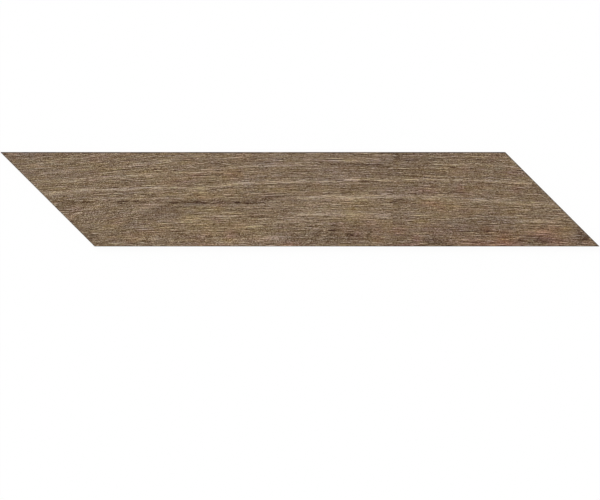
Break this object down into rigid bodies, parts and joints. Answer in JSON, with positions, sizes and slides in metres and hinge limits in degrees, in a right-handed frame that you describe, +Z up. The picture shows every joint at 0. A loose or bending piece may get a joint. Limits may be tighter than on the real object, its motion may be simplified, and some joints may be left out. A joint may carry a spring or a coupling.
{
  "type": "wood-look chevron floor tile",
  "caption": "Flat porcelain floor tile, a parallelogram with mitred ends and a printed brown oak-grain face, laid against mirrored tiles to make a chevron floor.",
  "frame": {"origin": "middle of the back, on the plane that the tile beds on", "axes": "+X along the long edges and the printed grain, +Y across the tile, +Z up out of the wear face"},
  "size_m": [0.6, 0.0944, 0.0095],
  "materials": {
    "porcelain": "matte"
  },
  "bodies": {
    "root": {"tile": "porcelain"}
  },
  "joints": []
}
